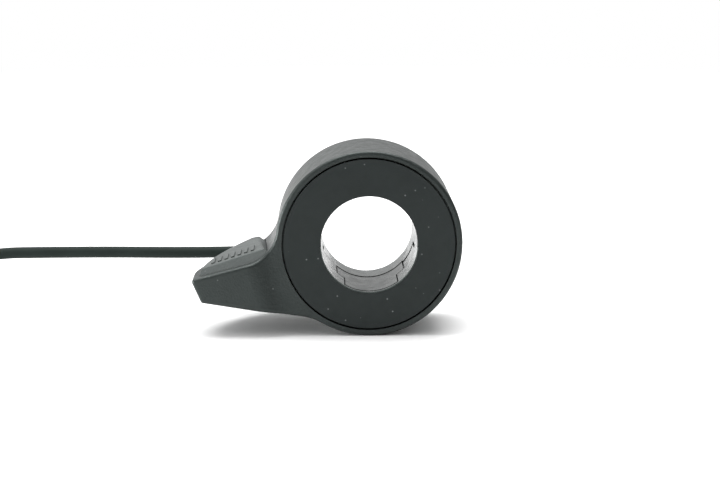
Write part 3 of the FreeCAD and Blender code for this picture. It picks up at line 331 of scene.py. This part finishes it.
# Colour, roughness, grain scale and grain depth, then the strength of dust specks and the gloss.
PLASTICS = {
    "lever_plastic": ((0.0100, 0.0125, 0.0120), 0.40, 2300, 0.00009, 0.4, 0.44),
    "cover_plastic": ((0.0080, 0.0098, 0.0100), 0.50, 3600, 0.00002, 0.6, 0.32),
    "housing_plastic": ((0.030, 0.037, 0.035), 0.27, 3000, 0.000012),
    "shoe_plastic": ((0.032, 0.039, 0.037), 0.29, 3000, 0.000012),
    "pad_plastic": ((0.046, 0.050, 0.049), 0.50, 2100, 0.00007, 0.3),
    "connector_plastic": ((0.02, 0.02, 0.021), 0.40, 3000, 0.00001),
    "slide_plastic": ((0.75, 0.75, 0.70), 0.35, 2000, 0.000004),
    "board_laminate": ((0.015, 0.16, 0.05), 0.35, 1500, 0.000004),
    "sensor_resin": ((0.015, 0.015, 0.016), 0.5, 2500, 0.000008),
}

# Colour and roughness.
METALS = {
    "screw_steel": ((0.50, 0.50, 0.49), 0.32),
    "spring_steel": ((0.42, 0.42, 0.42), 0.26),
    "magnet_nickel": ((0.66, 0.65, 0.62), 0.18),
    "insert_brass": ((0.72, 0.52, 0.22), 0.30),
    "lead_tin": ((0.70, 0.70, 0.68), 0.28),
}

# Colour and roughness, and the gloss where it isn't the usual one.
RUBBERS = {
    "relief_rubber": ((0.022, 0.024, 0.024), 0.55),
    "red_insulation": ((0.42, 0.02, 0.015), 0.4),
    "green_insulation": ((0.015, 0.20, 0.05), 0.4),
    "black_insulation": ((0.012, 0.012, 0.012), 0.4),
    "cable_sheath": ((0.0150, 0.0215, 0.0190), 0.60, 0.10),
}


def make_materials():
    made = {}
    for make, table in ((moulded_plastic, PLASTICS), (brushed_metal, METALS), (rubber, RUBBERS)):
        for name, values in table.items():
            made[name] = make(name, *values)
    return made


MATERIAL_NODES = {
    "lever_plastic": ("lever",),
    "pad_plastic": ("thumb_pad",),
    "cover_plastic": ("front_cover",),
    "housing_plastic": ("core_housing", "exit_cap"),
    "shoe_plastic": ("clamp_shoe",),
    "slide_plastic": ("front_slide_ring", "rear_slide_ring"),
    "connector_plastic": ("connector_body", "connector_collar"),
    "board_laminate": ("sensor_board",),
    "sensor_resin": ("hall_sensor",),
    "insert_brass": ("threaded_insert", "connector_pins"),
    "screw_steel": ("grub_screw", "cover_screws", "board_screws"),
    "spring_steel": ("return_spring",),
    "magnet_nickel": ("magnet",),
    "lead_tin": ("sensor_leads",),
    "relief_rubber": ("strain_relief", "connector_boot"),
    "red_insulation": ("supply_wire", "connector_seal"),
    "green_insulation": ("signal_wire",),
    "black_insulation": ("ground_wire",),
    "cable_sheath": ("cable", "cable_coil", "cable_tail"),
}


def dress_nodes(materials):
    for material, names in MATERIAL_NODES.items():
        for name in names:
            for material_slot in nodes[name].material_slots:
                material_slot.material = materials[material]


# Floor, world and lamps

def add_floor():
    """White paper under the part, which turns into plain white light further away."""
    n = Nodes("floor_paper")
    n.finish(PAPER_COLOUR, PAPER_ROUGHNESS, Specular_IOR_Level=PAPER_GLOSS)
    distance = n.add("ShaderNodeVectorMath", operation="LENGTH")
    n.join(n.place(), distance.inputs[0])
    share = n.spread(distance.outputs["Value"], PAPER_REACH, PAPER_END, 0.0, 1.0)
    light = n.add("ShaderNodeEmission", Strength=1.0)
    blend = n.add("ShaderNodeMixShader")
    n.join(share, blend.inputs[0])
    n.join(n.shader.outputs[0], blend.inputs[1])
    n.join(light.outputs[0], blend.inputs[2])
    n.join(blend.outputs[0], n.tree.nodes["Material Output"].inputs["Surface"])
    bpy.ops.mesh.primitive_plane_add(size=FLOOR_SIDE, location=(0, 0, FLOOR_Z))
    floor = bpy.context.object
    floor.name = "floor"
    floor.data.materials.append(n.material)


def add_world():
    """White where the camera sees it; as light, bright behind and above, and dim in front."""
    world = bpy.data.worlds.new("studio")
    bpy.context.scene.world = world
    world.use_nodes = True
    tree = world.node_tree
    background = tree.nodes["Background"]
    background.inputs["Color"].default_value = WHITE
    place = tree.nodes.new("ShaderNodeTexCoord")
    split = tree.nodes.new("ShaderNodeSeparateXYZ")
    tree.links.new(place.outputs["Generated"], split.inputs[0])

    def graded(axis, low, high, to_low, to_high):
        level = tree.nodes.new("ShaderNodeMapRange")
        level.inputs["From Min"].default_value = low
        level.inputs["From Max"].default_value = high
        level.inputs["To Min"].default_value = to_low
        level.inputs["To Max"].default_value = to_high
        tree.links.new(split.outputs[axis], level.inputs["Value"])
        return level.outputs["Result"]

    def combined(operation, first, second):
        node = tree.nodes.new("ShaderNodeMath")
        node.operation = operation
        tree.links.new(first, node.inputs[0])
        tree.links.new(second, node.inputs[1])
        return node.outputs[0]

    brightest = combined("MAXIMUM", graded(*DEPTH_LIGHT), graded(*ABOVE_LIGHT))
    strength = combined("MULTIPLY", brightest, graded(*SIDE_LIGHT))
    tree.links.new(strength, background.inputs["Strength"])

    seen = tree.nodes.new("ShaderNodeBackground")
    seen.inputs["Color"].default_value = WHITE
    path = tree.nodes.new("ShaderNodeLightPath")
    blend = tree.nodes.new("ShaderNodeMixShader")
    tree.links.new(path.outputs["Is Camera Ray"], blend.inputs[0])
    tree.links.new(background.outputs[0], blend.inputs[1])
    tree.links.new(seen.outputs[0], blend.inputs[2])
    tree.links.new(blend.outputs[0], tree.nodes["World Output"].inputs["Surface"])


def add_lamp(name, place, width, height, watts):
    data = bpy.data.lights.new(name, "AREA")
    data.shape = "RECTANGLE"
    data.size = width
    data.size_y = height
    data.energy = watts
    lamp = bpy.data.objects.new(name, data)
    lamp.location = place
    lamp.rotation_euler = (-Vector(place)).to_track_quat("-Z", "Y").to_euler()
    bpy.context.collection.objects.link(lamp)


add_camera()
materials = make_materials()
add_cable(materials["cable_sheath"])
dress_nodes(materials)
add_floor()
add_world()
for lamp in LAMPS:
    add_lamp(*lamp)

bpy.context.scene.view_settings.view_transform = "Standard"
